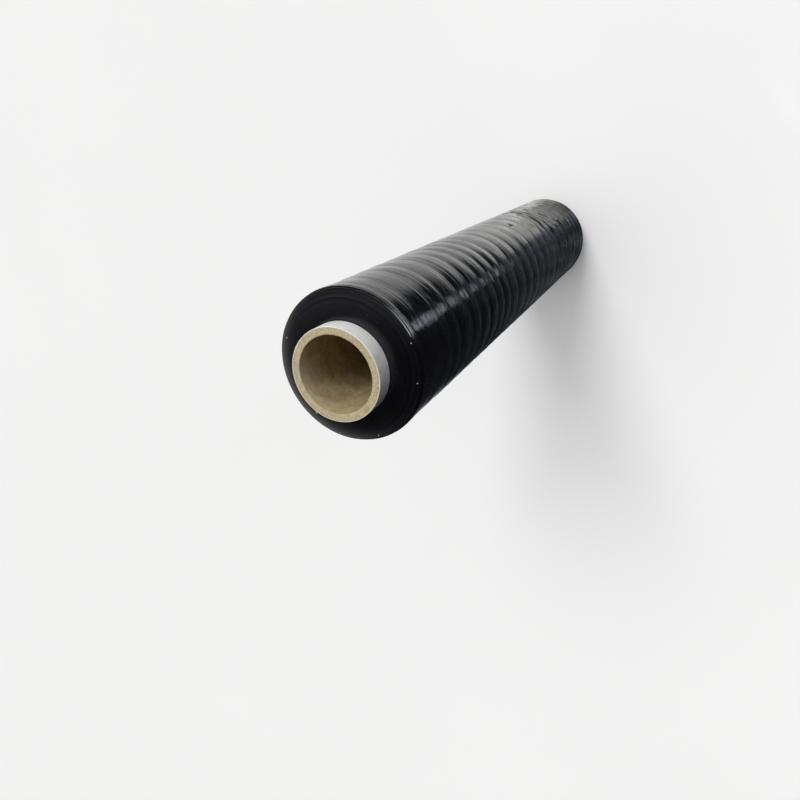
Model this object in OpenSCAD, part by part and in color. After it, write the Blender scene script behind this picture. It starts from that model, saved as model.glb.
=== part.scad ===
/*
Hand roll of black stretch wrap, standing on one end of its core.
The film is wound on a spiral-wound paperboard tube with a white paper ply on
its outside, and the core runs out beyond the film at both ends.
Millimetres, +Z up. The origin is at the middle of the core's lower end.
*/

/* [Core] */
// Inside diameter of the paperboard core
bore_d = 50; // [38:1:80]
// Thickness of the plain paperboard wall
board_wall = 4.6; // [2:0.1:8]
// Thickness of the white paper ply outside the board
ply_wall = 0.4; // [0.2:0.05:1]
// Length of core that shows beyond the first turns of film, at each end
stub_len = 12.5; // [5:0.5:40]
// Softened edges of the cut ends
cut_edge = 0.3; // [0.1:0.05:0.8]

/* [Film] */
// Width of the film, which is the length of the first turns
film_w = 500; // [250:5:750]
// Thickness of the wound film, from the core to the outside
wound = 20; // [10:0.5:60]
// How far the outermost turns draw in from the first ones, at each end
draw_in = 3.5; // [0.5:0.1:8]
// Thickness of the outermost turns, whose edges end one below the other
rim_t = 1.8; // [0.5:0.1:3]
// Length along the roll over which those edges end
rim_len = 3.6; // [1:0.1:8]

/* [Ribs] */
// Usual spacing of the narrow hollows between the ribs
rib_pitch = 21.6; // [12:0.1:40]
// Height of a full rib, from hollow to crest
rib_h = 0.7; // [0.2:0.05:1.5]
// Distance of the first hollow below the upper stepped rim
rib_start = 17.5; // [12:0.5:40]
// Length at the upper end over which the ribs grow to their full height
smooth_len = 130; // [20:5:200]
// Share of its height that a rib has at the upper stepped rim
smooth_share = 0.4; // [0.1:0.05:1]

/* [End faces] */
// Spacing of the rings of turns that show in an end face
ring_pitch = 5; // [3:0.5:7]
// Depth of the small step from one ring to the next
ring_step = 0.2; // [0.05:0.01:0.4]

/* [Hidden] */
$fn = 96;

bore_r = bore_d / 2;
board_r = bore_r + board_wall;
core_r = board_r + ply_wall;
ply_edge = min(cut_edge, ply_wall / 2);
film_r = core_r + wound;
core_len = film_w + 2 * stub_len;

// The ribbed outside between the two stepped rims
skin_len = film_w - 2 * draw_in - 2 * rim_len;
skin_top = core_len - stub_len - draw_in - rim_len;

// Steps in a rim
rim_steps = 3;

// Rings in an end face, and the wall of the step that ends each of them
rings = floor((wound - rim_t) / ring_pitch);
step_wall = 0.3;

// How far each hollow lies off an even spacing. The row repeats down the roll.
rib_shift = [0, 6, 0, -1, -2, -3, -4, -7, -12, -9, -8, -7, -6, 0];

// Share of the way from one hollow to the next at which a rib reaches its crest
rib_flank = 0.3;

// Plain length left below the last hollow
rib_end = 8;

// Distance of a hollow below the upper stepped rim, by its number
function hollow_s(i) =
    rib_start + i * rib_pitch + rib_shift[i % len(rib_shift)];

// All the hollows that the roll's length has room for
hollows = [
    for (i = [0 : floor(skin_len / rib_pitch) + 1])
        if (hollow_s(i) < skin_len - rib_end) hollow_s(i)
];

// Depth of a hollow at a distance below the upper stepped rim
function hollow_depth(s) =
    rib_h * (smooth_share + (1 - smooth_share) * min(1, s / smooth_len));

// Distance of the next hollow, or of the lower stepped rim after the last one
function next_s(i) =
    i + 1 < len(hollows) ? hollows[i + 1] : skin_len;

// How far the turn at a distance out from the core has drawn in
function drawn(t) = draw_in * pow(t / wound, 2);

// One end face as [radius, height against the first turns], from the core outward
face = [
    for (i = [0 : rings - 1])
        let (t0 = i * ring_pitch, t1 = t0 + ring_pitch - step_wall)
        each [
            [core_r + t0, -drawn(t0)],
            [core_r + t1, -drawn(t1) - ring_step]
        ]
];

// Radius and height of the steps in a rim, by number, from the end face outward
function step_r(k) = film_r - rim_t * (1 - sin(90 * k / rim_steps));
function step_z(k) = -draw_in - rim_len * (1 - cos(90 * k / rim_steps));

// A stepped rim from the end face to the outside
rim = [
    for (k = [0 : rim_steps - 1])
        each [[step_r(k), step_z(k)], [step_r(k + 1), step_z(k)]]
];

// Points measured against the first turns' upper or lower edge, put in their place
function at_top(points) =
    [for (p = points) [p[0], core_len - stub_len + p[1]]];
function at_bottom(points) =
    [for (i = [len(points) - 1 : -1 : 0]) [points[i][0], stub_len - points[i][1]]];

// The start of the outside, level as far as the flank above the first hollow
skin_start = [
    [film_r, skin_top],
    [film_r, skin_top - (1 - rib_flank) * hollows[0]]
];

// The rest of it down to the lower rim: each hollow and the crest that follows it
skin = [
    for (i = [0 : len(hollows) - 1])
        let (s = hollows[i], run = next_s(i) - s)
        each [
            [film_r - hollow_depth(s), skin_top - s],
            [film_r, skin_top - s - rib_flank * run],
            [film_r, skin_top - s - (1 - rib_flank) * run]
        ]
];

// Spiral-wound paperboard, cut square at both ends, its inner edges softened
module core_tube() {
    color("#c3b28c")
        rotate_extrude()
            polygon([
                [bore_r + cut_edge, 0],
                [board_r, 0],
                [board_r, core_len],
                [bore_r + cut_edge, core_len],
                [bore_r, core_len - cut_edge],
                [bore_r, cut_edge]
            ]);
}

// White paper wound last round the board, cut with it, its outer edges softened
module core_outer_ply() {
    color("#d6d5d2")
        rotate_extrude()
            polygon([
                [board_r, 0],
                [core_r - ply_edge, 0],
                [core_r, ply_edge],
                [core_r, core_len - ply_edge],
                [core_r - ply_edge, core_len],
                [board_r, core_len]
            ]);
}

// All the turns of film as one solid: ribbed outside, domed and stepped ends
module film_winding() {
    color("#1b1c20")
        rotate_extrude()
            polygon(concat(
                at_top(face),
                at_top(rim),
                skin_start,
                skin,
                at_bottom(rim),
                at_bottom(face)
            ));
}

core_tube();
core_outer_ply();
film_winding();
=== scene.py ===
# %% [markdown]
# # A hand roll of black stretch wrap
# The roll stands on one end of its core, as it would on a bench. Its film is one
# long winding with soft ribs round it, and the paperboard core runs out at both
# ends. Everything here is in metres and in the CAD model's own frame, so the
# winding, the board and the white paper each go where their solid is.

# %% Load the CAD model as the frame
import math

import bmesh
import bpy
import numpy as np
from mathutils import Matrix, Vector


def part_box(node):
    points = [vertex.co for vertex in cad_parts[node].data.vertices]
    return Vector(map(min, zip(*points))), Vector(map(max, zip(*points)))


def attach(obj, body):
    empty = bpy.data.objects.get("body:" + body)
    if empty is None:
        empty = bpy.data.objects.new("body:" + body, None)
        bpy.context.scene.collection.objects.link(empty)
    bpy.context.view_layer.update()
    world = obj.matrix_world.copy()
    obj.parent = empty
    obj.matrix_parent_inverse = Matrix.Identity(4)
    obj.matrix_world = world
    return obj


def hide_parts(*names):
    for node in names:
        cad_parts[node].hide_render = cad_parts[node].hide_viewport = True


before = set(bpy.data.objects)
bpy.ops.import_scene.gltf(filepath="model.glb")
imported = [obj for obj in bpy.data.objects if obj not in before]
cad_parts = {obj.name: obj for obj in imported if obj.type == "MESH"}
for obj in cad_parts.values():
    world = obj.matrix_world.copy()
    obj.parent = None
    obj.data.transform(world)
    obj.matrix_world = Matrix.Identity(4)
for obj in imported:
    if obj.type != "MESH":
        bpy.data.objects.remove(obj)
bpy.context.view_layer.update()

# %% [markdown]
# ## Measures
# The sizes are given in millimetres, because that is how a roll is measured with
# a ruler, and MM turns them into Blender's metres. The radii and heights come
# from the boxes of the CAD solids, so they can't drift away from them.

# %% Sizes of the roll, in millimetres
MM = 0.001
DEG = math.radians(1)
film_low, film_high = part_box("film_winding")
FILM_R = film_high[0] / MM
FILM_TOP = film_high[2] / MM
FILM_BOTTOM = film_low[2] / MM
BOARD_R, _, CORE_TOP = (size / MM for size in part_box("core_tube")[1])
CORE_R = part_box("core_outer_ply")[1][0] / MM
BORE_R = 25.0
DRAW_IN = 3.5
WOUND = FILM_R - CORE_R
RIM_TOP = FILM_TOP - DRAW_IN
RIM_BOTTOM = FILM_BOTTOM + DRAW_IN
print("film radius", FILM_R, "film height", FILM_BOTTOM, FILM_TOP, "core radius", CORE_R)


def place(angle_deg, radius_mm, height_mm):
    """A point on the roll: its angle from -Y toward +X, its radius and its height."""
    a = math.radians(angle_deg)
    return Vector((radius_mm * math.sin(a), -radius_mm * math.cos(a), height_mm)) * MM


# %% [markdown]
# ## Small helpers
# Colours are written as the hex values that a paint program shows, and one
# function turns them to the linear values that the shaders need. One more adds a
# node to any tree with its settings and links, which keeps every tree readable.
# In a Map Range node, inputs 1 and 2 are where the value is read from and to,
# and 3 and 4 are what it becomes there, which is 0 and 1 unless they are given.
# A Mix node's inputs 6 and 7 are its two colours.

# %% Colour and node helpers
SMOOTH = {"interpolation_type": "SMOOTHSTEP"}


def linear(hex_colour):
    """An sRGB hex colour as linear red, green, blue and alpha."""
    parts = [int(hex_colour[i:i + 2], 16) / 255 for i in (1, 3, 5)]
    return [c / 12.92 if c <= 0.04045 else ((c + 0.055) / 1.055) ** 2.4 for c in parts] + [1.0]


def feed(tree, node, links):
    """Sets inputs, by name or number, to values, to outputs, or to nodes' first outputs in use."""
    for socket, value in links.items():
        if isinstance(value, bpy.types.Node):
            value = next(output for output in value.outputs if output.enabled)
        if isinstance(value, bpy.types.NodeSocket):
            tree.links.new(value, node.inputs[socket])
        else:
            node.inputs[socket].default_value = value


def add(tree, kind, links=None, **settings):
    """Adds a node with its settings, feeds its inputs and returns it."""
    node = tree.nodes.new(kind)
    for name, value in settings.items():
        setattr(node, name, value)
    feed(tree, node, links or {})
    return node


def new_material(name):
    """An empty material, its tree, its Principled shader and its Object coordinates."""
    material = bpy.data.materials.new(name)
    material.use_nodes = True
    tree = material.node_tree
    return material, tree, tree.nodes["Principled BSDF"], add(tree, "ShaderNodeTexCoord").outputs["Object"]


def round_axis(tree, where):
    """A point's bearing from -Y toward +X, its distance from the roll's axis and its height."""
    xyz = add(tree, "ShaderNodeSeparateXYZ", {0: where}).outputs
    minus_y = add(tree, "ShaderNodeMath", {0: xyz["Y"], 1: -1.0}, operation="MULTIPLY")
    bearing = add(tree, "ShaderNodeMath", {0: xyz["X"], 1: minus_y}, operation="ARCTAN2")
    flat = add(tree, "ShaderNodeVectorMath", {0: where, 1: (1, 1, 0)}, operation="MULTIPLY")
    return bearing, add(tree, "ShaderNodeVectorMath", {0: flat}, operation="LENGTH"), xyz["Z"]


def put_in_scene(name, data):
    """A new object in the scene, made from a mesh, a lamp or a camera."""
    piece = bpy.data.objects.new(name, data)
    bpy.context.scene.collection.objects.link(piece)
    return piece


def keep(name, mesh, node=None):
    """Puts a finished mesh in the scene, for the CAD node that it stands for if there is one."""
    piece = put_in_scene(name, mesh)
    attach(piece, "root")
    if node:
        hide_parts(node)
    mesh.calc_loop_triangles()
    print(name, "has", len(mesh.loop_triangles), "triangles")


# %% [markdown]
# ## Camera
# The photograph looks down along the roll from just above its near end, with the
# picture turned so that the roll seems to lie. The camera's place, turn and lens
# were worked out from the round outlines of the core and the film, so the frame
# is the photograph's. No shift and no depth of field are needed.

# %% Camera
camera_data = bpy.data.cameras.new("camera")
camera = put_in_scene("camera", camera_data)
camera_data.sensor_width = 36
camera_data.lens = 28.364
camera_data.clip_start = 0.01
camera_data.clip_end = 50
CAMERA_AT = (0, -0.22961, 0.82167)
LOOK_LEFT, LOOK_DOWN, ROLLED = 9.025, 55.670, -130.519
turn = (
    Matrix.Rotation(math.radians(LOOK_LEFT), 4, "Z")
    @ Matrix.Rotation(math.radians(90 - LOOK_DOWN), 4, "X")
    @ Matrix.Rotation(math.radians(ROLLED), 4, "Z")
)
camera.matrix_world = Matrix.Translation(CAMERA_AT) @ turn
bpy.context.scene.camera = camera
bpy.context.scene.view_settings.view_transform = "Standard"
print("camera looks along", [round(v, 3) for v in turn @ Vector((0, 0, -1))])

# %% [markdown]
# ## Floor
# A wide matte floor under the roll is the whole background of the photograph's
# view. It is one flat disc of pale paint with a very faint unevenness, and it
# keeps the roll's shadow.

# %% Floor
pale_floor, tree, shader, where = new_material("matte pale floor paint")
mottle = add(tree, "ShaderNodeTexNoise", {"Vector": where, "Scale": 3.0, "Detail": 2.0})
shade = add(tree, "ShaderNodeMix", {0: mottle, 6: linear("#f6f6f6"), 7: linear("#f9f9f9")}, data_type="RGBA")
feed(tree, shader, {"Base Color": shade, "Roughness": 0.9, "Specular IOR Level": 0.2})

floor_mesh = bpy.data.meshes.new("floor")
bm = bmesh.new()
bmesh.ops.create_circle(bm, cap_ends=True, radius=6.0, segments=64)
bm.to_mesh(floor_mesh)
bm.free()
floor_mesh.materials.append(pale_floor)
floor = put_in_scene("floor", floor_mesh)

# %% [markdown]
# ## Room light
# The world is a plain pale room: bright near the horizon, where the walls would
# be, and dark overhead. The dark ceiling is what the roll's end face mirrors, so
# it decides how black the cut edges of the film look. Matte surfaces are lit by
# plain white instead, stronger from the window side.

# %% World
# Levels of light, as linear values, at these sines of the height above the horizon
ROOM = [(0.14, (0.92, 0.92, 0.92, 1)), (0.44, (0.32, 0.325, 0.335, 1)), (0.66, (0.035, 0.036, 0.042, 1))]
CEILING_BY_WINDOW = (0.37, 0.375, 0.4, 1)
WINDOW_SIDE = Vector((0.99, -0.14, 0)).normalized()

world = bpy.data.worlds.new("pale room")
bpy.context.scene.world = world
world.use_nodes = True
tree = world.node_tree
way = add(tree, "ShaderNodeTexCoord").outputs["Generated"]
up = add(tree, "ShaderNodeSeparateXYZ", {0: way}).outputs["Z"]
room = add(tree, "ShaderNodeValToRGB", {0: up})
room.color_ramp.elements.new(ROOM[1][0])
for stop, (sine, level) in zip(room.color_ramp.elements, ROOM):
    stop.position, stop.color = sine, level
# The window lifts the ceiling on its side
toward = add(tree, "ShaderNodeVectorMath", {0: way, 1: WINDOW_SIDE}, operation="DOT_PRODUCT")
overhead = add(tree, "ShaderNodeMapRange", {0: up, 1: 0.5, 2: 0.75})
window = add(tree, "ShaderNodeMapRange", {0: toward, 1: -0.05, 2: 0.4})
window = add(tree, "ShaderNodeMath", {0: window, 1: overhead}, operation="MULTIPLY")
ceiling = add(tree, "ShaderNodeMix", {0: window, 6: room, 7: CEILING_BY_WINDOW}, data_type="RGBA")
# The camera sees one pale colour, and matte surfaces white
rays = add(tree, "ShaderNodeLightPath").outputs
seen = add(tree, "ShaderNodeMix", {0: rays["Is Camera Ray"], 6: ceiling, 7: linear("#f4f4f4")},
           data_type="RGBA")
lit = add(tree, "ShaderNodeMix", {0: rays["Is Diffuse Ray"], 6: seen, 7: (1, 1, 1, 1)}, data_type="RGBA")
sided = add(tree, "ShaderNodeMapRange", {0: toward, 1: -0.5, 2: 0.9, 3: 0.32, 4: 1.08})
level = add(tree, "ShaderNodeMix", {0: rays["Is Diffuse Ray"], 2: 1.0, 3: sided}, data_type="FLOAT")
feed(tree, tree.nodes["Background"], {"Color": lit, "Strength": level})

# %% [markdown]
# ## Lamps and cards
# The key light is a broad, soft one from the window side, and a tall soft strip
# behind the camera fills the front. Black glossy film shows nothing but what it
# mirrors, and from this height its side mirrors the floor. So a dark card lies
# beside it, as a product photographer would lay one, with a light card for the
# streak down its front, its glow painted in bands like a crumpled reflector. A
# bright card behind the camera draws the thin lines on the rim, and a dark one
# stands on the shaded side.

# %% Key light and strip light
KEY_HEIGHT = 48
KEY_FROM = Vector((0.927, -0.375, math.tan(math.radians(KEY_HEIGHT)))).normalized()
key_data = bpy.data.lights.new("key", "SUN")
key_data.energy = 1.5
key_data.angle = math.radians(26)
key_data.color = (1.0, 0.995, 0.98)
key = put_in_scene("key", key_data)
key.rotation_euler = (-KEY_FROM).to_track_quat("-Z", "Y").to_euler()
key.location = KEY_FROM * 2
key.visible_glossy = False

STRIP_LEVEL, STRIP_WIDE, STRIP_TALL = 0.9, 0.26, 1.2
strip_data = bpy.data.lights.new("strip", "AREA")
strip_data.shape = "RECTANGLE"
strip_data.size, strip_data.size_y = STRIP_WIDE, STRIP_TALL
strip_data.energy = STRIP_LEVEL * math.pi * STRIP_WIDE * STRIP_TALL
strip_data.color = (0.95, 0.975, 1.0)
strip = put_in_scene("strip", strip_data)
strip.location = (0.03, -1.35, 0.95)
strip.rotation_euler = (Vector((0, 0, 0.5)) - Vector(strip.location)).to_track_quat("-Z", "Y").to_euler()


# %% Cards that only the gloss can see
def card(name, points, faces, colour):
    """A glowing card that only mirrored light sees. Returns its tree, its emission and its coordinates."""
    mesh = bpy.data.meshes.new(name)
    mesh.from_pydata([(x * MM, y * MM, z * MM) for x, y, z in points], [], faces)
    material = bpy.data.materials.new(name)
    material.use_nodes = True
    nodes = material.node_tree
    nodes.nodes.remove(nodes.nodes["Principled BSDF"])
    glow = add(nodes, "ShaderNodeEmission", {"Color": linear(colour), "Strength": 1.0})
    feed(nodes, nodes.nodes["Material Output"], {"Surface": glow})
    mesh.materials.append(material)
    piece = put_in_scene(name, mesh)
    piece.visible_camera = piece.visible_diffuse = piece.visible_transmission = False
    piece.visible_shadow = piece.visible_volume_scatter = False
    return nodes, glow, add(nodes, "ShaderNodeTexCoord").outputs["Object"]


def arc(first, last, step, radius, height):
    """Points on a level arc round the roll, by bearing from -Y toward +X."""
    return [(radius * math.sin(math.radians(a)), -radius * math.cos(math.radians(a)), height)
            for a in range(first, last, step)]


def standing_card(name, first, last, step, radius, heights, colour):
    """A card bent round the roll between two bearings and standing between two heights."""
    low, high = (arc(first, last, step, radius, height) for height in heights)
    faces = [(k, k + 1, len(low) + k + 1, len(low) + k) for k in range(len(low) - 1)]
    return card(name, low + high, faces, colour)


# %% Dark card on the floor
# Close to the roll its edge is crisp and reaches less far round than it does farther out, where it fades
sector = [(0, 0, 1)] + arc(84, -172, -4, 800, 1)
nodes, glow, where = card("dark_card", sector[::-1], [range(len(sector))], "#ffffff")
bearing, away, _ = round_axis(nodes, where)
edge_at = add(nodes, "ShaderNodeMapRange", {0: away, 1: 90 * MM, 2: 260 * MM, 3: 12 * DEG, 4: 45 * DEG},
              **SMOOTH)
edge_soft = add(nodes, "ShaderNodeMapRange", {0: away, 1: 140 * MM, 2: 280 * MM, 3: 5 * DEG, 4: 14 * DEG})
past_edge = add(nodes, "ShaderNodeMath", {0: bearing, 1: edge_at}, operation="SUBTRACT")
past_edge = add(nodes, "ShaderNodeMath", {0: past_edge, 1: edge_soft}, operation="DIVIDE")
key_end = add(nodes, "ShaderNodeMapRange", {0: past_edge, 1: -1}, **SMOOTH)
far_end = add(nodes, "ShaderNodeMapRange", {0: bearing, 1: -130 * DEG, 2: -168 * DEG}, **SMOOTH)
bright = add(nodes, "ShaderNodeMath", {0: key_end, 1: far_end}, operation="MAXIMUM")
tint = add(nodes, "ShaderNodeMix", {0: bright, 6: linear("#d9e2f5"), 7: linear("#fdfefb")}, data_type="RGBA")
# Right at the foot it is dark farther round
at_foot = add(nodes, "ShaderNodeMapRange", {0: away, 1: 66 * MM, 2: 106 * MM, 3: 0.88, 4: 0}, **SMOOTH)
at_front = add(nodes, "ShaderNodeMapRange", {0: bearing, 1: 54 * DEG, 2: 76 * DEG, 3: 1, 4: 0}, **SMOOTH)
foot = add(nodes, "ShaderNodeMath", {0: at_foot, 1: at_front}, operation="MULTIPLY")
clear = add(nodes, "ShaderNodeMath", {0: 1.0, 1: foot}, operation="SUBTRACT")
bright = add(nodes, "ShaderNodeMath", {0: bright, 1: clear}, operation="MULTIPLY")
# Uneven patches keep crumpled film lively
blots = add(nodes, "ShaderNodeTexNoise", {"Vector": where, "Scale": 34.0, "Detail": 2.0})
uneven = add(nodes, "ShaderNodeMapRange", {0: blots, 1: 0.36, 2: 0.64, 3: 0.25, 4: 1.75})
close = add(nodes, "ShaderNodeMapRange", {0: away, 1: 70 * MM, 2: 270 * MM, 3: 0.27, 4: 0.02}, **SMOOTH)
side_on = add(nodes, "ShaderNodeMapRange", {0: bearing, 1: -45 * DEG, 2: 15 * DEG, 3: 0.3})
faint = add(nodes, "ShaderNodeMath", {0: close, 1: side_on}, operation="MULTIPLY")
faint = add(nodes, "ShaderNodeMath", {0: faint, 1: uneven, 2: 0.02}, operation="MULTIPLY_ADD")
level = add(nodes, "ShaderNodeMath", {0: bright, 1: 0.9, 2: faint}, operation="MULTIPLY_ADD")
feed(nodes, glow, {"Strength": level, "Color": tint})

# %% Light card on the floor
# Painted light: the glow is laid out in bands across, with a jagged end, like a crumpled reflector. Film tilted
# a degree or so picks out other bands
LIGHT_CARD_LEVEL = 2.6
light_card_corners = [(-90, -410, 2), (56, -410, 2), (38, -272, 2), (-60, -272, 2)]
nodes, glow, where = card("light_card", light_card_corners, [range(4)], "#e6effc")
bearing, away, _ = round_axis(nodes, where)
glow_band_noise = add(nodes, "ShaderNodeTexNoise", {"W": away, "Scale": 48.0, "Detail": 2.0}, noise_dimensions="1D")
bands = add(nodes, "ShaderNodeMapRange", {0: glow_band_noise, 1: 0.43, 2: 0.59, 3: 0.15, 4: 1.75})
jag = add(nodes, "ShaderNodeTexNoise", {"W": away, "Scale": 75.0, "Detail": 1.0}, noise_dimensions="1D")
jag = add(nodes, "ShaderNodeMath", {0: jag, 1: 16 * DEG, 2: bearing}, operation="MULTIPLY_ADD")
level = add(nodes, "ShaderNodeMapRange", {0: jag, 1: -0.8 * DEG, 2: 0.2 * DEG})
soft_end = add(nodes, "ShaderNodeMapRange", {0: bearing, 1: -2 * DEG, 2: 8 * DEG, 3: 1, 4: 0}, **SMOOTH)
for factor in (soft_end, bands, LIGHT_CARD_LEVEL):
    level = add(nodes, "ShaderNodeMath", {0: level, 1: factor}, operation="MULTIPLY")
feed(nodes, glow, {"Strength": level})

# %% Dark card standing on the shaded side
nodes, glow, where = standing_card("dark_wall", -12, -150, -6, 900, (2, 950), "#e6ebf5")
bearing, _, _ = round_axis(nodes, where)
first_end = add(nodes, "ShaderNodeMapRange", {0: bearing, 1: -30 * DEG, 2: -12 * DEG}, **SMOOTH)
last_end = add(nodes, "ShaderNodeMapRange", {0: bearing, 1: -115 * DEG, 2: -146 * DEG}, **SMOOTH)
either = add(nodes, "ShaderNodeMath", {0: first_end, 1: last_end}, operation="MAXIMUM")
level = add(nodes, "ShaderNodeMath", {0: either, 1: 0.5, 2: 0.05}, operation="MULTIPLY_ADD")
feed(nodes, glow, {"Strength": level})

# %% Bright card behind the camera
# Each step of the rim has a rounded edge, which mirrors this card as one thin bright line
BRIGHT_LEVEL = 34.0
nodes, glow, where = standing_card("bright_card", -14, 46, 4, 1500, (560, 1400), "#f2f6ff")
bearing, _, _ = round_axis(nodes, where)
level = add(nodes, "ShaderNodeMapRange", {0: bearing, 1: -14 * DEG, 2: -7 * DEG}, **SMOOTH)
fall = add(nodes, "ShaderNodeMapRange", {0: bearing, 1: 4 * DEG, 2: 42 * DEG, 3: 1, 4: 0}, **SMOOTH)
for factor in (fall, BRIGHT_LEVEL):
    level = add(nodes, "ShaderNodeMath", {0: level, 1: factor}, operation="MULTIPLY")
feed(nodes, glow, {"Strength": level})

# %% Black flag hung beyond the shaded side
# It keeps the far floor's light off one side of the core's end. Its back is clear, so it shades no floor
nodes, glow, _ = standing_card("hung_flag", 0, -150, -6, 230, (380, 1080), "#101010")
back = add(nodes, "ShaderNodeNewGeometry").outputs["Backfacing"]
clear_back = add(nodes, "ShaderNodeMixShader", {0: back, 1: glow, 2: add(nodes, "ShaderNodeBsdfTransparent")})
feed(nodes, nodes.nodes["Material Output"], {"Surface": clear_back})
flag = bpy.data.objects["hung_flag"]
flag.visible_diffuse, flag.visible_glossy = True, False

# %% [markdown]
# ## The winding's section
# On the real roll the film is stretched as it is wound, and it settles into soft
# ribs between narrow hollows. The outer turns draw in, which domes the ends, and
# they don't end in line, which steps the rim. All of it follows one section
# turned round the axis, so the section comes first, as points of radius and
# height, and each point carries how many ribs lie above it and how deep they are.

# %% Hollows between the ribs
# The part's source spaces its hollows by the same rule: an even pitch, and how far each one lies off it
RIB_PITCH, RIB_START, RIB_H = 21.6, 17.5, 0.78
RIB_SHIFT = [0, 6, 0, -1, -2, -3, -4, -7, -12, -9, -8, -7, -6, 0]
SMOOTH_LEN, SMOOTH_SHARE = 130.0, 0.4
SIDE_START, SIDE_STEP = 3.6, 1.5
RIM_DEEP = 1.8
# Radius of the ring outside which the turns sit lower
RING_LINE = FILM_R - 6.7
skin_len = RIM_TOP - RIM_BOTTOM - 2 * SIDE_START
HOLLOWS = [RIB_START + SIDE_START + i * RIB_PITCH + RIB_SHIFT[i % len(RIB_SHIFT)] for i in range(-1, 24)]
HOLLOWS = [h for h in HOLLOWS if h < skin_len] + [skin_len + 2 * SIDE_START + 8]
DEPTHS = [RIB_H * (SMOOTH_SHARE + (1 - SMOOTH_SHARE) * min(1, max(0, h) / SMOOTH_LEN)) for h in HOLLOWS]
print(len(HOLLOWS), "hollows, from", HOLLOWS[0], "to", HOLLOWS[-1], "mm below the upper rim")

# %% Section of one end face, with its rings of turns
# Rows this far apart, and this far where the face bends sharply
FACE_ROW, FINE_ROW = 0.46, 0.26


def end_face(seed):
    """(radius, height against the first turns' edge), from the core out to the rim."""
    dice = np.random.default_rng(seed)
    face_end = FILM_R - RIM_DEEP
    points = []
    radius, offset = CORE_R + 0.04, 0.0
    while radius < face_end - 0.2:
        drawn = DRAW_IN * ((radius - CORE_R) / WOUND) ** 2
        # The turns outside one ring sit lower, and a narrow groove runs round the core
        drawn += 0.05 * (1 + math.tanh((radius - RING_LINE) / 0.2))
        drawn += 0.3 * (max(0, radius - RING_LINE) / (face_end - RING_LINE)) ** 2
        groove = 0.14 * math.exp(-((radius - CORE_R - 0.9) / 0.3) ** 2)
        points.append((radius, -drawn - groove + offset))
        radius += FINE_ROW if abs(radius - RING_LINE) < 0.8 or radius < CORE_R + 1.8 else FACE_ROW
        # Now and then a turn sits a few hundredths higher or lower than the last
        if dice.random() < 0.4:
            offset = float(np.clip(offset + dice.normal(0, 0.022), -0.06, 0.03))
    return points


# %% Section of a rim, where a few turns end one below the other
# Each tread's inner radius against the film's outside, and its distance below the rim
TREADS = [(-RIM_DEEP, 0), (-1.0, 1.6), (-0.25, 3.4), (0, SIDE_START)]
ROUNDED = 0.3


def stepped_rim():
    """(radius, distance down from the rim) from face to side: each turn's cut edge, then its wall."""
    points = []
    for (inner, down), (outer, next_down) in zip(TREADS, TREADS[1:]):
        inner, outer = FILM_R + inner, FILM_R + outer
        edge = min(ROUNDED, 0.6 * (outer - inner), 0.6 * (next_down - down))
        # Rows close to each bend keep the flats flat under smooth shading, so only the rounding shines
        points += [(inner + out, down) for out in (0.01, 0.04)]
        points += [(outer - edge - back, down) for back in (0.03, 0)]
        points += [(outer, down + edge + on) for on in (0, 0.03)] + [(outer, next_down - 0.04)]
    return points


# %% The whole closed section
def winding_section():
    """Rows of radius, height, ribs above, rib depth and whether the row is on an end."""
    rows = [(r, FILM_TOP + z, 0, 0, 1) for r, z in end_face(3)]
    rows += [(r, RIM_TOP - s, 0, 0, 0.6) for r, s in stepped_rim()]
    length = RIM_TOP - RIM_BOTTOM
    for s in np.linspace(SIDE_START, length - SIDE_START, round((length - 2 * SIDE_START) / SIDE_STEP)):
        # The hollow number grows evenly from one hollow to the next, and ribs fade within 5 mm of a rim
        grown = min(1, (s - SIDE_START) / 5, (length - SIDE_START - s) / 5)
        ribs_above = float(np.interp(s, HOLLOWS, range(len(HOLLOWS))))
        rows.append((FILM_R, RIM_TOP - s, ribs_above, float(np.interp(s, HOLLOWS, DEPTHS)) * grown, 0))
    rows += [(r, RIM_BOTTOM + s, 0, 0, 0.6) for r, s in stepped_rim()[::-1]]
    rows += [(r, FILM_BOTTOM - z, 0, 0, 1) for r, z in end_face(8)[::-1]]
    return np.array(rows + rows[:1], dtype=float)


ROW_FACTS = ("ribs_above", "rib_depth", "on_end")
section_rows = winding_section()
section_mesh = bpy.data.meshes.new("winding section")
section_mesh.from_pydata([(r * MM, 0, z * MM) for r, z in section_rows[:, :2]],
                         [(i, i + 1) for i in range(len(section_rows) - 1)], [])
for column, name in enumerate(ROW_FACTS, 2):
    layer = section_mesh.attributes.new(name, "FLOAT", "POINT")
    layer.data.foreach_set("value", section_rows[:, column].astype(np.float32))
print("the section has", len(section_rows), "points")

# %% [markdown]
# ## Film materials
# Stretch film is linear low-density polyethylene with carbon black in it: almost
# black inside, with the even gloss of a blown film. Wound tight, it keeps fine
# lines round the roll, about a millimetre apart, from the tension it was wound
# with. Those lines pull every reflection out along the roll.

# %% Black film, the side of the roll
film_side, tree, shader, where = new_material("black stretch film, wound tight")
# Tension lines: a centimetre or two long round the roll, about 1.3 mm apart along it
lines_at = add(tree, "ShaderNodeMapping", {"Vector": where, "Scale": (75, 75, 760)})
lines = add(tree, "ShaderNodeTexNoise", {"Vector": lines_at, "Scale": 1.0, "Detail": 2.5, "Roughness": 0.6})
# Broader lines about 2.5 mm apart, where single turns sit a little higher
bands_at = add(tree, "ShaderNodeMapping", {"Vector": where, "Scale": (16, 16, 420)})
bands = add(tree, "ShaderNodeTexNoise", {"Vector": bands_at, "Scale": 1.0, "Detail": 2.0})
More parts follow.
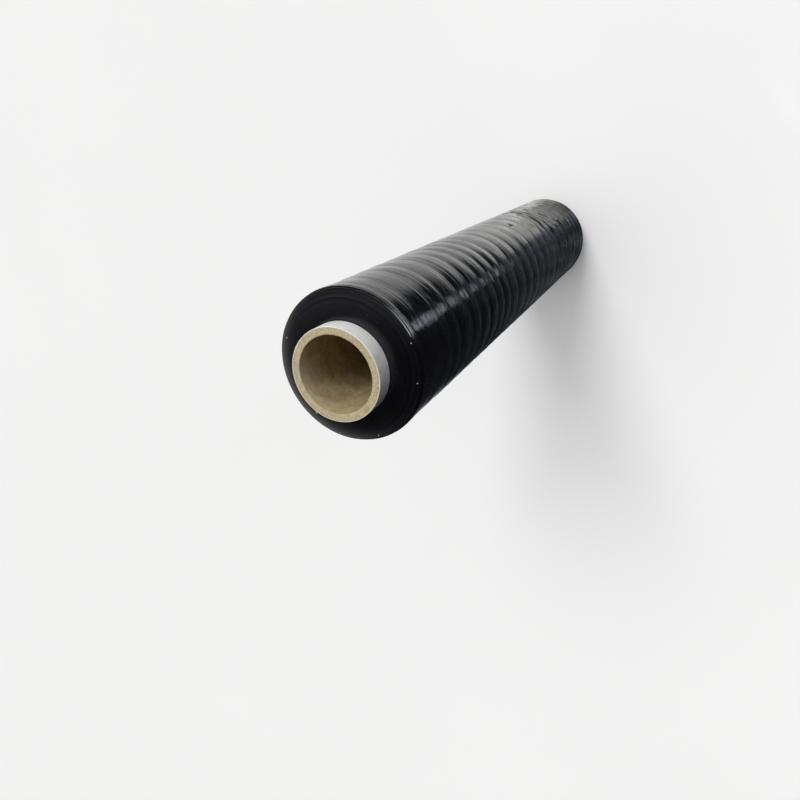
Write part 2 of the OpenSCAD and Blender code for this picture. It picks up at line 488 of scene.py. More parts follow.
# Air caught between turns leaves soft dimples a centimetre or so across
dimples = add(tree, "ShaderNodeTexNoise", {"Vector": where, "Scale": 95.0, "Detail": 2.0, "Roughness": 0.5})
bump = add(tree, "ShaderNodeBump", {"Height": lines, "Strength": 1.0, "Distance": 0.07 * MM})
for pattern, height_mm in ((bands, 0.36), (dimples, 0.25)):
    bump = add(tree, "ShaderNodeBump", {"Height": pattern, "Strength": 1.0, "Distance": height_mm * MM,
                                        "Normal": bump})
tone = add(tree, "ShaderNodeMix", {0: bands, 6: linear("#050507"), 7: linear("#0a0a0c")}, data_type="RGBA")
gloss = add(tree, "ShaderNodeMapRange", {0: bands, 1: 0.42, 2: 0.6, 3: 0.04, 4: 0.22})
feed(tree, shader, {"Normal": bump, "Base Color": tone, "Roughness": gloss, "IOR": 1.51})

# %% [markdown]
# The end face is the cut edges of thousands of turns. It is the same black film,
# but each edge is a few hundredths of a millimetre, so together they scatter
# light: duller than the side, with fine rings. The rings are drawn about 0.35 mm
# apart, which is as fine as they can show.

# %% Black film, the edges of the turns
film_edges, tree, shader, where = new_material("black stretch film, edges of the turns")
_, radius, _ = round_axis(tree, where)
ring_at = add(tree, "ShaderNodeCombineXYZ", {"X": radius})
rings = add(tree, "ShaderNodeTexNoise", {"Vector": ring_at, "Scale": 2800.0, "Detail": 3.0, "Roughness": 0.7})
wide_rings = add(tree, "ShaderNodeTexNoise", {"Vector": ring_at, "Scale": 420.0, "Detail": 1.0})
smudge = add(tree, "ShaderNodeTexNoise", {"Vector": where, "Scale": 55.0, "Detail": 3.0})
bump = add(tree, "ShaderNodeBump", {"Height": rings, "Strength": 1.0, "Distance": 0.03 * MM})
# Painted shade: the tone is darker on rings at random, which stand for turns that sit deeper
ring_shade = add(tree, "ShaderNodeMath", {0: wide_rings, 1: rings}, operation="MULTIPLY")
tone = add(tree, "ShaderNodeMix", {0: ring_shade, 6: linear("#030306"), 7: linear("#0a0a13")}, data_type="RGBA")
dull = add(tree, "ShaderNodeMapRange", {0: smudge, 1: 0.3, 2: 0.7, 3: 0.2, 4: 0.3})
# Painted shade: the sheen is lowered on the same rings, and most of all at the ring where the turns step down
sheen = add(tree, "ShaderNodeMapRange", {0: rings, 1: 0.36, 2: 0.64, 3: 0.26, 4: 0.78})
wide_sheen = add(tree, "ShaderNodeMapRange", {0: wide_rings, 1: 0.35, 2: 0.65, 3: 0.75, 4: 1.25})
off_ring = add(tree, "ShaderNodeMath", {0: radius, 1: RING_LINE * MM}, operation="SUBTRACT")
off_ring = add(tree, "ShaderNodeMath", {0: off_ring}, operation="ABSOLUTE")
clear_of_ring = add(tree, "ShaderNodeMapRange", {0: off_ring, 1: 0.1 * MM, 2: 0.55 * MM, 3: 0.3})
for factor in (wide_sheen, clear_of_ring):
    sheen = add(tree, "ShaderNodeMath", {0: sheen, 1: factor}, operation="MULTIPLY")
feed(tree, shader, {"Normal": bump, "Base Color": tone, "Roughness": dull, "Specular IOR Level": sheen,
                    "IOR": 1.51})


# %% [markdown]
# ## The winding
# A grid has one row for each point of the section and one column for each step
# round the roll. Geometry Nodes look up each row's point, turn it by the
# column's angle and press the ribs in. No two turns lie alike, so slow noise
# shifts the ribs and changes their depth as they go round.

# %% Start a Geometry Nodes tree, run it and keep its mesh
def new_tree(name, start, inputs):
    """A tree with a starting geometry and other named inputs. Returns it and the inputs' sockets."""
    tree = bpy.data.node_groups.new(name, "GeometryNodeTree")
    tree.interface.new_socket(start, in_out="INPUT", socket_type="NodeSocketGeometry")
    for label, kind in inputs.items():
        tree.interface.new_socket(label, in_out="INPUT", socket_type="NodeSocket" + kind)
    tree.interface.new_socket("Geometry", in_out="OUTPUT", socket_type="NodeSocketGeometry")
    return tree, add(tree, "NodeGroupInput").outputs


def grow(name, start_mesh, group, values):
    """Runs a Geometry Nodes tree on a mesh with these named inputs and returns a plain mesh."""
    carrier = put_in_scene(name, start_mesh)
    modifier = carrier.modifiers.new(group.name, "NODES")
    modifier.node_group = group
    for item in group.interface.items_tree:
        if item.in_out == "INPUT" and item.name in values:
            modifier[item.identifier] = values[item.name]
    depsgraph = bpy.context.evaluated_depsgraph_get()
    mesh = bpy.data.meshes.new_from_object(carrier.evaluated_get(depsgraph))
    carrier.modifiers.clear()
    bpy.data.objects.remove(carrier)
    mesh.name = name
    # The starting mesh leaves an empty material slot in front, which is taken out
    while None in list(mesh.materials):
        mesh.materials.pop(index=list(mesh.materials).index(None))
    return mesh


# %% Winding's tree: the grid, and what the section says about each row
winding, given = new_tree("winding", "Section", {
    "Points": "Int", "Steps round": "Int", "Rib drift": "Float", "Rib fullness": "Float", "Waviness": "Float",
    "Seed": "Float", "Side material": "Material", "Edge material": "Material"})
columns = add(winding, "ShaderNodeMath", {0: given["Steps round"], 1: 1.0}, operation="ADD")
grid = add(winding, "GeometryNodeMeshGrid", {"Vertices X": given["Points"], "Vertices Y": columns})
number = add(winding, "GeometryNodeInputIndex")
row = add(winding, "ShaderNodeMath", {0: number, 1: columns}, operation="DIVIDE")
row = add(winding, "ShaderNodeMath", {0: row}, operation="FLOOR")
column = add(winding, "ShaderNodeMath", {0: number, 1: columns}, operation="MODULO")
share = add(winding, "ShaderNodeMath", {0: column, 1: given["Steps round"]}, operation="DIVIDE")
angle = add(winding, "ShaderNodeMath", {0: share, 1: 2 * math.pi}, operation="MULTIPLY")
cosine = add(winding, "ShaderNodeMath", {0: angle}, operation="COSINE")
sine = add(winding, "ShaderNodeMath", {0: angle}, operation="SINE")

position = add(winding, "GeometryNodeInputPosition")
point = add(winding, "GeometryNodeSampleIndex", {"Geometry": given["Section"], "Value": position, "Index": row},
            data_type="FLOAT_VECTOR")
point_xyz = add(winding, "ShaderNodeSeparateXYZ", {0: point}).outputs
looked_up = {}
for name in ROW_FACTS:
    stored = add(winding, "GeometryNodeInputNamedAttribute", {"Name": name}, data_type="FLOAT")
    looked_up[name] = add(winding, "GeometryNodeSampleIndex",
                          {"Geometry": given["Section"], "Value": stored, "Index": row})


def turned(radius):
    """Each row's point at this radius, turned by its column's angle."""
    x = add(winding, "ShaderNodeMath", {0: radius, 1: cosine}, operation="MULTIPLY")
    y = add(winding, "ShaderNodeMath", {0: radius, 1: sine}, operation="MULTIPLY")
    return add(winding, "ShaderNodeCombineXYZ", {"X": x, "Y": y, "Z": point_xyz["Z"]})


# %% Winding's tree: ribs pressed in
# Slow noise: where the ribs wander, how full they are, and a soft waviness of the side
plain = turned(point_xyz["X"])
slow = []
for seed_on, scale in ((0.0, 17.0), (7.3, 26.0), (3.1, 34.0)):
    seed = add(winding, "ShaderNodeMath", {0: given["Seed"], 1: seed_on}, operation="ADD")
    slow.append(add(winding, "ShaderNodeTexNoise", {"Vector": plain, "W": seed, "Scale": scale, "Detail": 1.0},
                    noise_dimensions="4D"))
drift, fullness, waves = slow

# A rib is a broad arch between two narrow hollows
wander = add(winding, "ShaderNodeMapRange", {0: drift, 1: 0.25, 2: 0.75})
wander = add(winding, "ShaderNodeMath", {0: wander, 1: 0.5}, operation="SUBTRACT")
wander = add(winding, "ShaderNodeMath", {0: wander, 1: given["Rib drift"], 2: looked_up["ribs_above"]},
             operation="MULTIPLY_ADD")
in_rib = add(winding, "ShaderNodeMath", {0: wander}, operation="FRACT")
across = add(winding, "ShaderNodeMath", {0: in_rib, 1: 2.0, 2: -1.0}, operation="MULTIPLY_ADD")
across_2 = add(winding, "ShaderNodeMath", {0: across, 1: across}, operation="MULTIPLY")
arch = add(winding, "ShaderNodeMath", {0: 1.0, 1: across_2}, operation="SUBTRACT")
arch_2 = add(winding, "ShaderNodeMath", {0: arch, 1: arch, 2: 0.035}, operation="MULTIPLY_ADD")
soft_arch = add(winding, "ShaderNodeMath", {0: arch_2}, operation="SQRT")
hollow = add(winding, "ShaderNodeMath", {0: 1.0, 1: soft_arch}, operation="SUBTRACT")
filled = add(winding, "ShaderNodeMapRange", {0: fullness, 1: 0.3, 2: 0.7, 3: 0.55, 4: 1.2})
filled = add(winding, "ShaderNodeMath", {0: filled, 1: given["Rib fullness"]}, operation="MULTIPLY")
pressed = hollow
for factor in (looked_up["rib_depth"], filled):
    pressed = add(winding, "ShaderNodeMath", {0: pressed, 1: factor}, operation="MULTIPLY")

# The side waves a little too, but not its ends
on_side = add(winding, "ShaderNodeMath", {0: looked_up["rib_depth"], 1: 8.0}, operation="MULTIPLY",
              use_clamp=True)
wavy = add(winding, "ShaderNodeMath", {0: waves, 1: 0.3}, operation="SUBTRACT", use_clamp=True)
for factor in (given["Waviness"], on_side):
    wavy = add(winding, "ShaderNodeMath", {0: wavy, 1: factor}, operation="MULTIPLY")
inward = add(winding, "ShaderNodeMath", {0: pressed, 1: wavy}, operation="ADD")
inward = add(winding, "ShaderNodeMath", {0: inward, 1: -MM}, operation="MULTIPLY")
real = turned(add(winding, "ShaderNodeMath", {0: point_xyz["X"], 1: inward}, operation="ADD"))

# %% Winding's tree: one closed mesh with two finishes
shaped = add(winding, "GeometryNodeSetPosition", {"Geometry": grid, "Position": real})
noted = add(winding, "GeometryNodeStoreNamedAttribute",
            {"Geometry": shaped, "Name": "on_end", "Value": looked_up["on_end"]},
            data_type="FLOAT", domain="POINT")
closed = add(winding, "GeometryNodeMergeByDistance", {"Geometry": noted, "Distance": 0.002 * MM})
smooth = add(winding, "GeometryNodeSetShadeSmooth", {"Geometry": closed, "Shade Smooth": True})
whole = add(winding, "GeometryNodeRealizeInstances", {"Geometry": smooth})
sided = add(winding, "GeometryNodeSetMaterial", {"Geometry": whole, "Material": given["Side material"]})
end_mark = add(winding, "GeometryNodeInputNamedAttribute", {"Name": "on_end"}, data_type="FLOAT")
at_end = add(winding, "FunctionNodeCompare", {"A": end_mark, "B": 0.9}, data_type="FLOAT",
             operation="GREATER_THAN")
ended = add(winding, "GeometryNodeSetMaterial",
            {"Geometry": sided, "Selection": at_end, "Material": given["Edge material"]})
add(winding, "NodeGroupOutput", {"Geometry": ended})

# %% Wind the film
STEPS_ROUND = 216
film_mesh = grow("film_roll", section_mesh, winding, {
    "Points": len(section_rows), "Steps round": STEPS_ROUND, "Rib drift": 0.35, "Rib fullness": 1.0,
    "Waviness": 0.8, "Seed": 2.0, "Side material": film_side, "Edge material": film_edges})


def points_of(mesh):
    """A mesh's points, as rows of x, y and z in metres."""
    at = np.empty(len(mesh.vertices) * 3)
    mesh.vertices.foreach_get("co", at)
    return at.reshape(-1, 3)


def volume_ml(mesh):
    """Signed volume in millilitres, which is negative where a closed mesh is inside out."""
    mesh.calc_loop_triangles()
    at = points_of(mesh)
    corners = np.empty(len(mesh.loop_triangles) * 3, dtype=np.int32)
    mesh.loop_triangles.foreach_get("vertices", corners)
    a, b, c = (at[corners.reshape(-1, 3)[:, k]] for k in range(3))
    return float(np.einsum("ij,ij->i", a, np.cross(b, c)).sum() / 6 * 1e6)


def face_outward(mesh):
    """Turns a closed mesh the right way out."""
    if volume_ml(mesh) < 0:
        mesh.flip_normals()


print("winding volume", round(volume_ml(film_mesh)), "ml; materials", [m.name for m in film_mesh.materials])
face_outward(film_mesh)

# %% [markdown]
# ## Where the film ends, and where it was squeezed
# The last turn's cut end is a faint step that runs the length of the roll, on
# its far side. Near the lower end something once gathered the film, and a fan of
# soft folds runs out from that point into crumpled film. Both are small moves
# of the finished mesh, so they are made there and not in the tree. Each function
# takes distances below the upper rim and angles, and gives millimetres inward.

# %% Tail step, folds, swirl and dent
GATHER_S, GATHER_ANGLE = 360.0, 60.0
# Each fold runs from the gather to a point this far along the roll and round it, and is this deep
FOLDS = [(-66, 38, 0.9), (-54, 52, 1.3), (-38, 60, 1.1), (-22, 68, 1.3), (-6, 60, 1.1), (12, 66, 1.2),
         (30, 56, 1.0), (50, 58, 1.0), (70, 42, 0.9), (88, 22, 0.8), (92, 0, 0.8), (58, -22, 0.8),
         (24, -34, 0.6), (-14, -30, 0.6)]
DEEPEST = 1.5
SWIRL_S, SWIRL_ANGLE, SWIRL_PITCH = 392.0, -12.0, 9.5
# A small torn dent in the outer turns
DENT_S, DENT_ANGLE, DENT_DEEP = 286.0, 34.7, 1.6
TAIL_ANGLE, TAIL_STEP = 192.0, 0.12


def ease(x, low, high):
    """0 below low, 1 above high and a soft rise between them."""
    t = np.clip((x - low) / (high - low), 0, 1)
    return t * t * (3 - 2 * t)


def round_from(angle_deg, start_deg):
    """Millimetres round the film's outside from one angle to another, toward smaller angles."""
    return np.radians((start_deg - angle_deg + 180) % 360 - 180) * FILM_R


def fold_depth(s, angle_deg):
    """The fan of folds."""
    u, s = round_from(angle_deg, GATHER_ANGLE), s - GATHER_S
    depth = np.zeros_like(s)
    for number, (along, across, deep) in enumerate(FOLDS):
        length = math.hypot(along, across)
        t = (s * along + u * across) / length ** 2
        bend = 3.0 * np.sin(3.0 * np.clip(t, 0, 1) + 1.7 * number)
        off = (s * across - u * along) / length - bend
        width = 1.6 + 2.0 * np.clip(t, 0, 1)
        held = ease(t, -0.03, 0.06) * (1 - ease(t, 0.5, 1.05))
        lip = 0.5 * np.exp(-((off - 2.4 * width) / width) ** 2)
        depth += deep * held * (np.exp(-np.abs(off / width) ** 1.3) - lip)
    return DEEPEST * np.tanh(depth / DEEPEST)


def swirl_depth(s, angle_deg):
    """Arcs of crumpled film round a point, broken up by ridges of several slants."""
    u, s_off = round_from(angle_deg, SWIRL_ANGLE), s - SWIRL_S
    away = np.hypot(s_off * 0.8, u)
    turned_by = np.arctan2(u, s_off)
    arcs = (1 - np.abs(np.sin(math.pi * (away / SWIRL_PITCH + 0.5 * np.sin(2 * turned_by + 0.6))))) ** 2
    ridges = np.zeros_like(s)
    for slant, pitch, start in ((0.3, 19.0, 0.4), (1.2, 13.0, 2.1), (2.4, 15.0, 4.0)):
        run = (s * math.cos(slant) + u * math.sin(slant)) / pitch
        bent = run + 0.55 * np.sin(u / 11.0 + start) + 0.5 * np.sin(s / 19.0 + 2 * start)
        ridges += (1 - np.abs(np.sin(math.pi * bent))) ** 3
    in_arcs = 1 - ease(away, 18, 52)
    in_ridges = ease(s, 350, 385) * (1 - ease(s, 462, 482)) * (1 - ease(np.abs(u + 8), 55, 85))
    return 0.8 * arcs * in_arcs + 0.38 * ridges * in_ridges


def dent_depth(s, angle_deg):
    """The torn dent and the small lip beside it."""
    u, s = round_from(angle_deg, DENT_ANGLE), s - DENT_S
    lip = 0.35 * np.exp(-((u + 3.2) / 2.2) ** 2 - ((s - 2) / 2.6) ** 2)
    return DENT_DEEP * (np.exp(-(u / 2.1) ** 2 - (s / 3.0) ** 2) - lip)


# %% Move the film's mesh
at = points_of(film_mesh)
radius_mm = np.hypot(at[:, 0], at[:, 1]) / MM
angle_deg = np.degrees(np.arctan2(at[:, 0], -at[:, 1]))
below_rim = RIM_TOP - at[:, 2] / MM
# Only the outside is moved, and less and less near its rims
on_skin = (radius_mm > 45) * ease(below_rim, 4, 9) * (1 - ease(below_rim, 479, 485))
tail_wave = 1.2 * np.sin(below_rim / 57) + 0.8 * np.sin(below_rim / 23)
past_tail = ((angle_deg - TAIL_ANGLE - tail_wave) % 360) / 360
pressed = sum(depth(below_rim, angle_deg) for depth in (fold_depth, swirl_depth, dent_depth))
inward_mm = on_skin * np.maximum(pressed + TAIL_STEP * past_tail, 0)
at[:, :2] *= ((radius_mm - inward_mm) / radius_mm)[:, None]
film_mesh.vertices.foreach_set("co", at.ravel())
film_mesh.update()
print("deepest fold in millimetres:", round(float(inward_mm.max()), 2))
keep("film_roll", film_mesh, "film_winding")

# %% [markdown]
# ## Core materials
# The core is kraft paperboard, wound in a spiral from many plies and sawn to
# length. Sawing leaves the cut end pale and furry with the plies showing as fine
# rings. The bore is the innermost ply: smooth brown kraft with short fibres and
# specks of bark. Outside is one ply of bleached paper.

# %% A spiral seam, for any of the core's papers
SEAM_CLIMB = 185 * MM


def seam_line(tree, where, start_deg, half_width_mm):
    """1 in the gap where a ply's edges meet and 0 elsewhere. start_deg is its angle at the upper end."""
    bearing, _, height = round_axis(tree, where)
    turns = add(tree, "ShaderNodeMath", {0: bearing, 1: 1 / (2 * math.pi), 2: -start_deg / 360 + 0.5},
                operation="MULTIPLY_ADD")
    down = add(tree, "ShaderNodeMath", {0: height, 1: -1 / SEAM_CLIMB, 2: CORE_TOP * MM / SEAM_CLIMB},
               operation="MULTIPLY_ADD")
    off = turns
    for operation, other in (("SUBTRACT", down), ("FLOORED_MODULO", 1.0), ("SUBTRACT", 0.5)):
        off = add(tree, "ShaderNodeMath", {0: off, 1: other}, operation=operation)
    off = add(tree, "ShaderNodeMath", {0: off}, operation="ABSOLUTE")
    half = half_width_mm * MM / SEAM_CLIMB
    return add(tree, "ShaderNodeMapRange", {0: off, 1: half * 0.5, 2: half * 1.5, 3: 1.0, 4: 0.0}, **SMOOTH)


# %% Paperboard, sawn end
board_cut, tree, shader, where = new_material("spiral-wound paperboard, sawn end")
_, radius, _ = round_axis(tree, where)
ring_at = add(tree, "ShaderNodeCombineXYZ", {"X": radius})
# Plies about 0.55 mm thick, fuzz from the saw, and darker patches where the saw ran warm
plies = add(tree, "ShaderNodeTexNoise", {"Vector": ring_at, "Scale": 1800.0, "Detail": 2.0})
fuzz = add(tree, "ShaderNodeTexNoise", {"Vector": where, "Scale": 1100.0, "Detail": 4.0, "Roughness": 0.7})
patches = add(tree, "ShaderNodeTexNoise", {"Vector": where, "Scale": 210.0, "Detail": 3.0})
mixed = add(tree, "ShaderNodeMath", {0: plies, 1: 0.35, 2: fuzz}, operation="MULTIPLY_ADD")
mixed = add(tree, "ShaderNodeMapRange", {0: mixed, 1: 0.48, 2: 0.88})
tone = add(tree, "ShaderNodeMix", {0: mixed, 6: linear("#a6946f"), 7: linear("#ddd0b1")}, data_type="RGBA")
worn = add(tree, "ShaderNodeMapRange", {0: patches, 1: 0.52, 2: 0.72, 4: 0.5})
tone = add(tree, "ShaderNodeMix", {0: worn, 6: tone, 7: linear("#93805c")}, data_type="RGBA")
bump = add(tree, "ShaderNodeBump", {"Height": mixed, "Strength": 0.8, "Distance": 0.14 * MM})
feed(tree, shader, {"Base Color": tone, "Normal": bump, "Roughness": 0.92, "Specular IOR Level": 0.25})

# %% Paperboard, bore
board_bore, tree, shader, where = new_material("kraft paperboard, bore")
fibres_at = add(tree, "ShaderNodeMapping", {"Vector": where, "Scale": (240, 240, 800)})
fibres = add(tree, "ShaderNodeTexNoise", {"Vector": fibres_at, "Scale": 1.0, "Detail": 4.0, "Roughness": 0.7})
# Bark specks and short dark fibres, a millimetre or less
specks_at = add(tree, "ShaderNodeMapping", {"Vector": where, "Scale": (260, 260, 520)})
specks = add(tree, "ShaderNodeTexVoronoi", {"Vector": specks_at, "Scale": 1.0, "Randomness": 1.0})
speck = add(tree, "ShaderNodeMapRange", {0: specks, 1: 0.08, 2: 0.26, 3: 0.7, 4: 0.0})
# Smudges about a centimetre across, from glue and handling
smudges = add(tree, "ShaderNodeTexNoise", {"Vector": where, "Scale": 120.0, "Detail": 4.0, "Roughness": 0.6})
smudge = add(tree, "ShaderNodeMapRange", {0: smudges, 1: 0.42, 2: 0.68, 4: 0.6})
gap = seam_line(tree, where, 0.0, 0.25)
tone = add(tree, "ShaderNodeMix", {0: fibres, 6: linear("#917e57"), 7: linear("#cebc96")}, data_type="RGBA")
for share, colour in ((smudge, "#836f4a"), (speck, "#594629"), (gap, "#2c2113")):
    tone = add(tree, "ShaderNodeMix", {0: share, 6: tone, 7: linear(colour)}, data_type="RGBA")
bump = add(tree, "ShaderNodeBump", {"Height": fibres, "Strength": 0.6, "Distance": 0.06 * MM})
bump = add(tree, "ShaderNodeBump", {"Height": gap, "Strength": 1.0, "Distance": 0.15 * MM, "Normal": bump},
           invert=True)
feed(tree, shader, {"Base Color": tone, "Normal": bump, "Roughness": 0.8, "Specular IOR Level": 0.3})

# %% White paper ply
white_paper, tree, shader, where = new_material("bleached paper ply")
grain = add(tree, "ShaderNodeTexNoise", {"Vector": where, "Scale": 900.0, "Detail": 3.0})
rub = add(tree, "ShaderNodeTexNoise", {"Vector": where, "Scale": 90.0, "Detail": 4.0, "Roughness": 0.6})
rubbed = add(tree, "ShaderNodeMapRange", {0: rub, 1: 0.5, 2: 0.75, 4: 0.45})
gap = seam_line(tree, where, 43.6, 0.16)
# The last third of a millimetre below the cut is brighter, all round
height = add(tree, "ShaderNodeSeparateXYZ", {0: where}).outputs["Z"]
near_cut = add(tree, "ShaderNodeMapRange", {0: height, 1: (CORE_TOP - 0.4) * MM, 2: (CORE_TOP - 0.15) * MM})
tone = add(tree, "ShaderNodeMix", {0: grain, 6: linear("#c3c3c1"), 7: linear("#d8d8d5")}, data_type="RGBA")
for share, colour in ((rubbed, "#a3a19e"), (gap, "#bcbab4"), (near_cut, "#fbf6e9")):
    tone = add(tree, "ShaderNodeMix", {0: share, 6: tone, 7: linear(colour)}, data_type="RGBA")
bump = add(tree, "ShaderNodeBump", {"Height": grain, "Strength": 0.5, "Distance": 0.03 * MM})
bump = add(tree, "ShaderNodeBump", {"Height": gap, "Strength": 1.0, "Distance": 0.06 * MM, "Normal": bump},
           invert=True)
feed(tree, shader, {"Base Color": tone, "Normal": bump, "Roughness": 0.7, "Specular IOR Level": 0.2})


# %% [markdown]
# ## The core
# Both tubes are closed outlines turned round the axis. The saw leaves the
# board's end slightly uneven and nicks its inner edge, so the points near the
# cut are moved by a fraction of a millimetre, each by its own seeded amount.
# The plies' spiral seams are too fine for the mesh and are in the materials.

# %% A turned ring with a sawn end
def turned_ring(name, outline, around, roughness_mm, seed):
    """Turns a closed outline of (radius, height, how rough) round the axis into a closed mesh."""
    dice = np.random.default_rng(seed)
    angles = np.arange(around) * 2 * np.pi / around
    rows = np.array(outline, dtype=float)
    radius = np.repeat(rows[:, :1], around, axis=1)
    height = np.repeat(rows[:, 1:2], around, axis=1)
    rough = roughness_mm * rows[:, 2:3]
    inward = -np.abs(dice.normal(0, 0.5, radius.shape)) * rough
    height = np.where(height > CORE_TOP / 2, height + inward, height - inward)
    radius = radius + dice.normal(0, 0.5, radius.shape) * rough * (np.abs(radius - BORE_R) < 0.5)
    points = np.stack([radius * np.cos(angles), radius * np.sin(angles), height], axis=-1).reshape(-1, 3) * MM
    faces = []
    for i in range(len(rows)):
        k = (i + 1) % len(rows)
        for j in range(around):
            m = (j + 1) % around
            faces.append((i * around + j, k * around + j, k * around + m, i * around + m))
    mesh = bpy.data.meshes.new(name)
    mesh.from_pydata(points.tolist(), [], faces)
    mesh.polygons.foreach_set("use_smooth", [True] * len(faces))
    face_outward(mesh)
    return mesh


# %% Board of the core
EDGE = 0.35
BOARD_OUT = BOARD_R - 0.03
cut_radii = np.linspace(BORE_R + EDGE, BOARD_OUT, 11)
board_outline = [(r, CORE_TOP, float(r < BOARD_OUT)) for r in cut_radii]
board_outline += [(r, 0.0, 0.0) for r in cut_radii[::-1]]
board_outline += [(BORE_R + 0.1, 0.1, 0.0)]
board_outline += [(BORE_R, z, 0.0) for z in np.linspace(EDGE, CORE_TOP - EDGE, 60)]
board_outline += [(BORE_R + 0.08, CORE_TOP - 0.12, 0.8)]
board_mesh = turned_ring("core_board", board_outline, 260, 0.16, 5)
board_mesh.materials.append(board_bore)
board_mesh.materials.append(board_cut)
for polygon in board_mesh.polygons:
    polygon.material_index = 1 if abs(polygon.normal.z) > 0.5 else 0
keep("core_board", board_mesh, "core_tube")

# %% White ply
ply_outline = [(BOARD_R, 0.0, 0), (BOARD_R, CORE_TOP, 0), (CORE_R - 0.14, CORE_TOP, 0.3)]
ply_outline += [(CORE_R - 0.03, CORE_TOP - 0.05, 0.3)]
ply_outline += [(CORE_R, z, 0) for z in np.linspace(CORE_TOP - 0.2, 0.2, 60)] + [(CORE_R - 0.12, 0.0, 0)]
ply_mesh = turned_ring("core_white_ply", ply_outline, 200, 0.12, 9)
ply_mesh.materials.append(white_paper)
keep("core_white_ply", ply_mesh, "core_outer_ply")

# %% [markdown]
# ## Dust and fibres
# Sawing a paper core leaves a little pale dust on the film's end face and short
# fibres standing on the cut. Each is one small shape set down many times, so
# Geometry Nodes place them: dust as squashed grains on given points, and fibres
# as bent hairs.

# %% Paper dust and fibre material
paper_dust, tree, shader, where = new_material("paper dust from the saw")
shades = add(tree, "ShaderNodeTexNoise", {"Vector": where, "Scale": 500.0, "Detail": 1.0})
tone = add(tree, "ShaderNodeMix", {0: shades, 6: linear("#b9ac90"), 7: linear("#f0ece2")}, data_type="RGBA")
feed(tree, shader, {"Base Color": tone, "Roughness": 0.9})


# %% Set a shape on points, as the last step of a tree
def set_down(tree, given, points, shape, turned_by, scale):
    """Puts the shape on the points, makes it real and gives it the tree's material."""
    bits = add(tree, "GeometryNodeInstanceOnPoints",
               {"Points": given[points], "Instance": shape, "Rotation": turned_by, "Scale": scale})
    bits = add(tree, "GeometryNodeRealizeInstances", {"Geometry": bits})
    bits = add(tree, "GeometryNodeSetMaterial", {"Geometry": bits, "Material": given["Material"]})
    add(tree, "NodeGroupOutput", {"Geometry": bits})


# %% Geometry Nodes tree of the dust
dust_tree, given = new_tree("dust", "Places", {
    "Smallest": "Float", "Largest": "Float", "Seed": "Int", "Material": "Material"})
grain_shape = add(dust_tree, "GeometryNodeMeshIcoSphere", {"Radius": 1.0, "Subdivisions": 1})
seed = given["Seed"]
size = add(dust_tree, "FunctionNodeRandomValue", {2: given["Smallest"], 3: given["Largest"], "Seed": seed},
           data_type="FLOAT")
squash = add(dust_tree, "FunctionNodeRandomValue", {0: (0.5, 0.3, 0.2), 1: (1.3, 0.9, 0.5), "Seed": seed},
             data_type="FLOAT_VECTOR")
stretch = add(dust_tree, "ShaderNodeVectorMath", {0: squash, "Scale": size}, operation="SCALE")
spin = add(dust_tree, "FunctionNodeRandomValue", {0: (0, 0, 0), 1: (0.4, 0.4, 6.28), "Seed": seed},
           data_type="FLOAT_VECTOR")
set_down(dust_tree, given, "Places", grain_shape, spin, stretch)

# %% Geometry Nodes tree of the fibres
fibre_tree, given = new_tree("sawn fibres", "Cut edge", {
    "Length": "Float", "Thickness": "Float", "Seed": "Int", "Turn low": "Vector", "Turn high": "Vector",
    "Material": "Material"})
seed, length = given["Seed"], given["Length"]
middle = add(fibre_tree, "ShaderNodeVectorMath", {0: (0.5, 0.3, 0.12), "Scale": length}, operation="SCALE")
tip = add(fibre_tree, "ShaderNodeVectorMath", {0: (1, 0, 0), "Scale": length}, operation="SCALE")
hair = add(fibre_tree, "GeometryNodeCurveQuadraticBezier",
           {"Resolution": 5, "Start": (0, 0, 0), "Middle": middle, "End": tip})
profile = add(fibre_tree, "GeometryNodeCurvePrimitiveCircle", {"Resolution": 4, "Radius": given["Thickness"]})
hair = add(fibre_tree, "GeometryNodeCurveToMesh", {"Curve": hair, "Profile Curve": profile, "Fill Caps": True})
how_long = add(fibre_tree, "FunctionNodeRandomValue", {2: 0.35, 3: 1.0, "Seed": seed}, data_type="FLOAT")
facing = add(fibre_tree, "FunctionNodeRandomValue", {0: given["Turn low"], 1: given["Turn high"], "Seed": seed},
             data_type="FLOAT_VECTOR")
set_down(fibre_tree, given, "Cut edge", hair, facing, how_long)


# %% Dust grains on the upper end face
def scatter(name, places, tree, values):
    """Sets a tree's bits of paper on these places and puts them in the scene. They stand for no CAD node."""
    points = bpy.data.meshes.new(name + " places")
    points.from_pydata(places, [], [])
    keep(name, grow(name, points, tree, values))


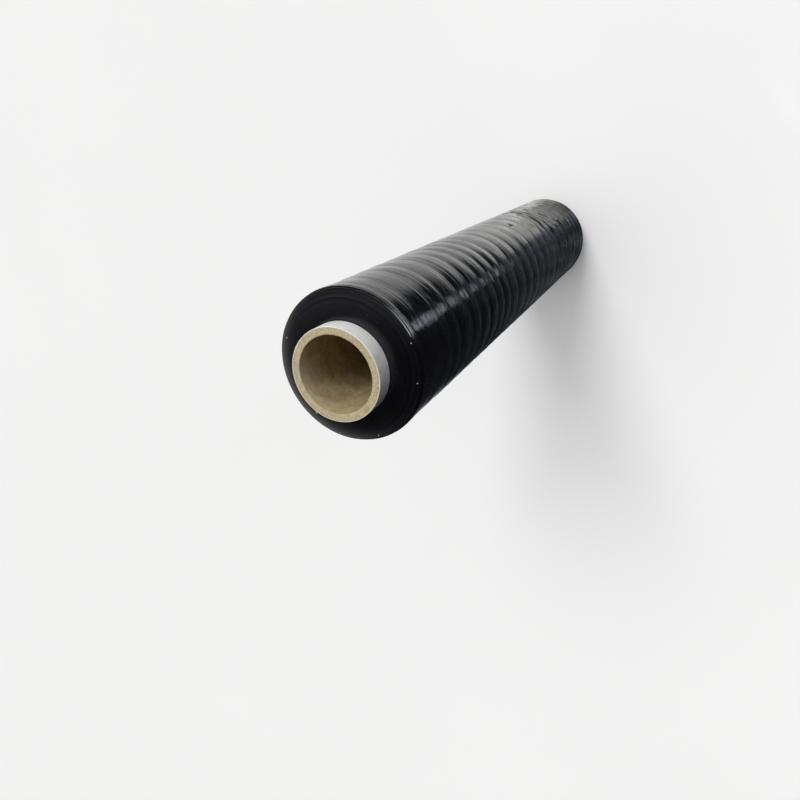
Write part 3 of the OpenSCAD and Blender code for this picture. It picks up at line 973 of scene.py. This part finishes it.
def on_face(angle_deg, radius_mm, above_mm):
    """A point this far above the upper end face."""
    radii, heights = zip(*end_face(3))
    return place(angle_deg, radius_mm, FILM_TOP + float(np.interp(radius_mm, radii, heights)) + above_mm)


FINE_GRAINS, FIBRES = 24, 90
dice = np.random.default_rng(21)
# The grains that show plainly, as (angle from -Y toward +X, radius), and a thin scatter of finer ones
plain_grains = [(-40, 46.8), (-136, 47.4), (-101, 46.9), (126, 44.8), (146, 38.0), (-10, 47.6)]
scattered = [(dice.uniform(-180, 180), CORE_R + 0.5 + 17.0 * dice.random() ** 0.8) for _ in range(FINE_GRAINS)]
scatter("face_dust_fine", [on_face(a, r, 0.04) for a, r in scattered], dust_tree,
        {"Smallest": 0.04 * MM, "Largest": 0.12 * MM, "Seed": 4, "Material": paper_dust})
scatter("face_dust", [on_face(a, r, 0.08) for a, r in plain_grains], dust_tree,
        {"Smallest": 0.4 * MM, "Largest": 0.6 * MM, "Seed": 7, "Material": paper_dust})

# %% Fibres on the sawn end and one burr at its edge
on_cut = [(dice.uniform(-180, 180),
           dice.choice([BORE_R + 0.5, BOARD_R - 0.3, dice.uniform(BORE_R + 0.6, BOARD_R - 0.5)]))
          for _ in range(FIBRES)]
scatter("core_fibres", [place(a, r, CORE_TOP - 0.16) for a, r in on_cut], fibre_tree,
        {"Length": 1.1 * MM, "Thickness": 0.035 * MM, "Seed": 12, "Turn low": (-0.4, -0.1, 0),
         "Turn high": (0.4, 0.1, 6.28), "Material": paper_dust})

# The burr is a few thick fibres of the white ply that the saw pulled outward
BURR_ANGLE = -155.5
on_burr = [(dice.normal(BURR_ANGLE, 0.5), CORE_R - 0.5 + 0.12 * k) for k in range(5)]
outward = math.radians(BURR_ANGLE - 90)
scatter("core_burr", [place(a, r, CORE_TOP - 0.3) for a, r in on_burr], fibre_tree,
        {"Length": 1.8 * MM, "Thickness": 0.17 * MM, "Seed": 5, "Turn low": (-0.3, 0, outward - 0.25),
         "Turn high": (0.3, 0.2, outward + 0.25), "Material": white_paper})
